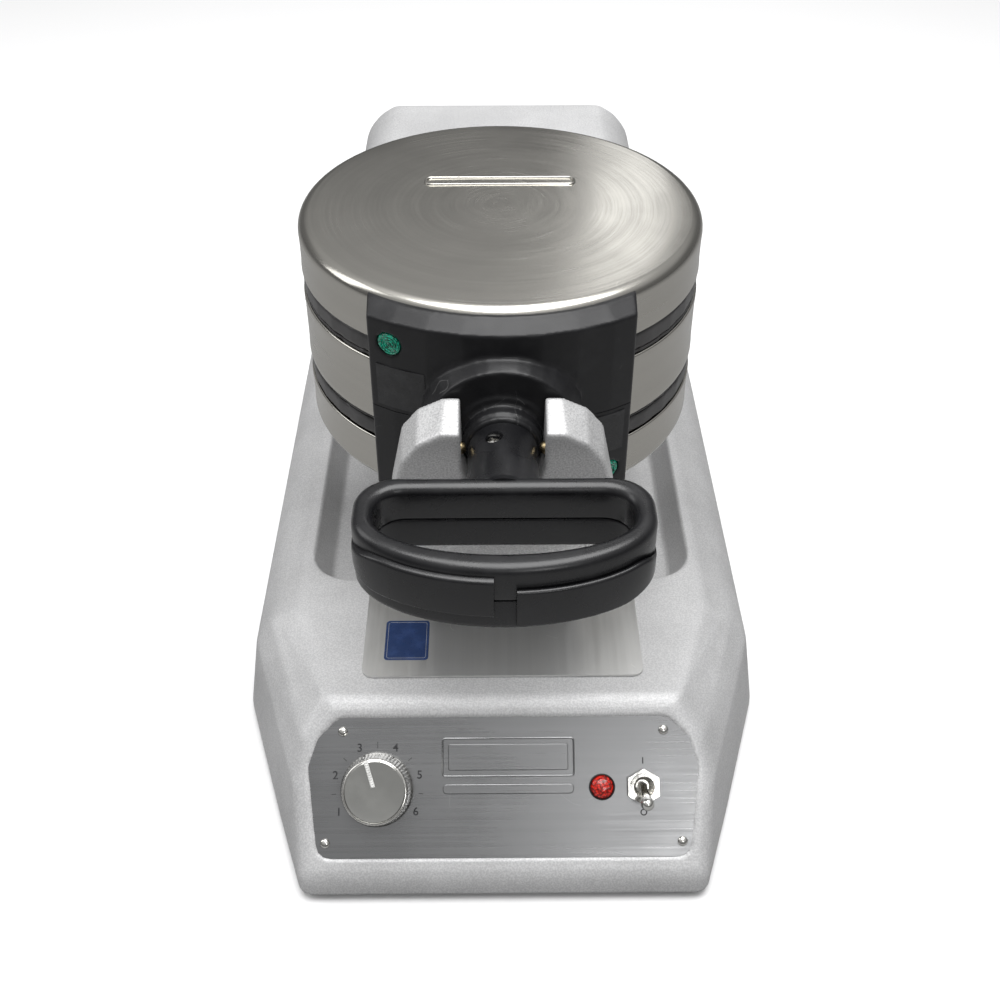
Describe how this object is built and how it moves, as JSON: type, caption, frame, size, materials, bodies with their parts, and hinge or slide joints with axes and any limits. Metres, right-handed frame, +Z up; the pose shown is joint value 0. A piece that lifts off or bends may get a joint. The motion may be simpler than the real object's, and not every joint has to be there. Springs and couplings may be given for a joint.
{
  "type": "waffle maker",
  "caption": "Two-chamber rotary waffle maker: cast base with sloping control panel, front fork, rear tower and a round head that turns over.",
  "frame": {"origin": "on the table under the middle of the appliance's overall box", "axes": "+Z up, -Y towards the user and the control panel, +X to the user's right"},
  "size_m": [0.2674, 0.4476, 0.2477],
  "materials": {
    "cast_paint": "silver speckled powder coat",
    "stainless": "brushed stainless sheet",
    "plain_steel": "plain machined steel",
    "nonstick_plate": "dark non-stick coating on cast aluminium",
    "black_plastic": "black moulded plastic with a fine grain",
    "bright_metal": "bright nickel plate",
    "brass": "turned brass",
    "rubber": "black rubber",
    "red_lens": "clear red moulded lens",
    "green_lens": "ribbed green moulded lens"
  },
  "bodies": {
    "base": {"base_housing": "cast_paint", "base_plate": "stainless", "foot_front_left": "rubber", "foot_front_right": "rubber", "foot_rear_left": "rubber", "foot_rear_right": "rubber", "control_plate": "stainless", "panel_rivet_upper_left": "bright_metal", "panel_rivet_upper_right": "bright_metal", "panel_rivet_lower_left": "bright_metal", "panel_rivet_lower_right": "bright_metal", "pilot_lamp_lens": "red_lens", "pilot_lamp_body": "black_plastic", "thermostat": "plain_steel", "toggle_body": "bright_metal", "toggle_nut": "bright_metal", "fork": "cast_paint", "fork_pad_left": "brass", "fork_pad_right": "brass", "fork_screw_left": "plain_steel", "fork_screw_right": "plain_steel", "rear_bush": "brass", "cable_gland": "black_plastic", "terminal_block": "black_plastic", "buzzer": "black_plastic"},
    "knob": {"knob": "bright_metal", "knob_spindle": "plain_steel"},
    "toggle": {"toggle_lever": "bright_metal"},
    "drip_tray": {"drip_tray": "stainless"},
    "head": {"middle_band": "stainless", "middle_plate_upper": "nonstick_plate", "middle_plate_lower": "nonstick_plate", "middle_heater": "plain_steel", "hinge_bracket": "plain_steel", "upper_hinge_pin": "plain_steel", "lower_hinge_pin": "plain_steel", "rear_shaft": "plain_steel", "shaft_collar": "plain_steel", "lower_cover": "stainless", "lower_plate": "nonstick_plate", "lower_heater": "plain_steel", "lower_hinge_arm": "plain_steel", "lower_bracket": "black_plastic", "lower_ready_lens": "green_lens", "lower_handle": "black_plastic", "lower_handle_screw": "bright_metal"},
    "upper_lid": {"upper_cover": "stainless", "upper_plate": "nonstick_plate", "upper_heater": "plain_steel", "upper_hinge_arm": "plain_steel", "upper_bracket": "black_plastic", "upper_ready_lens": "green_lens", "upper_handle": "black_plastic", "upper_handle_screw": "bright_metal"}
  },
  "joints": [
    {"name": "head_rotate", "type": "hinge", "parent": "base", "child": "head", "pos_m": [0, -0.0051, 0.1933], "axis": [0, 1, 0], "range_deg": [-180, 0]},
    {"name": "upper_lid_open", "type": "hinge", "parent": "head", "child": "upper_lid", "pos_m": [0, 0.1, 0.212], "axis": [-1, 0, 0], "range_deg": [0, 95]},
    {"name": "knob_turn", "type": "hinge", "parent": "base", "child": "knob", "pos_m": [-0.0587, -0.18826, 0.04158], "axis": [0, 0.6727, -0.7399], "range_deg": [-96, 144]},
    {"name": "toggle_rock", "type": "hinge", "parent": "base", "child": "toggle", "pos_m": [0.065, -0.18898, 0.04296], "axis": [-1, 0, 0], "range_deg": [0, 50]},
    {"name": "drip_tray_slide", "type": "slide", "parent": "base", "child": "drip_tray", "axis": [0, -1, 0], "range_m": [0, 0.06]}
  ]
}
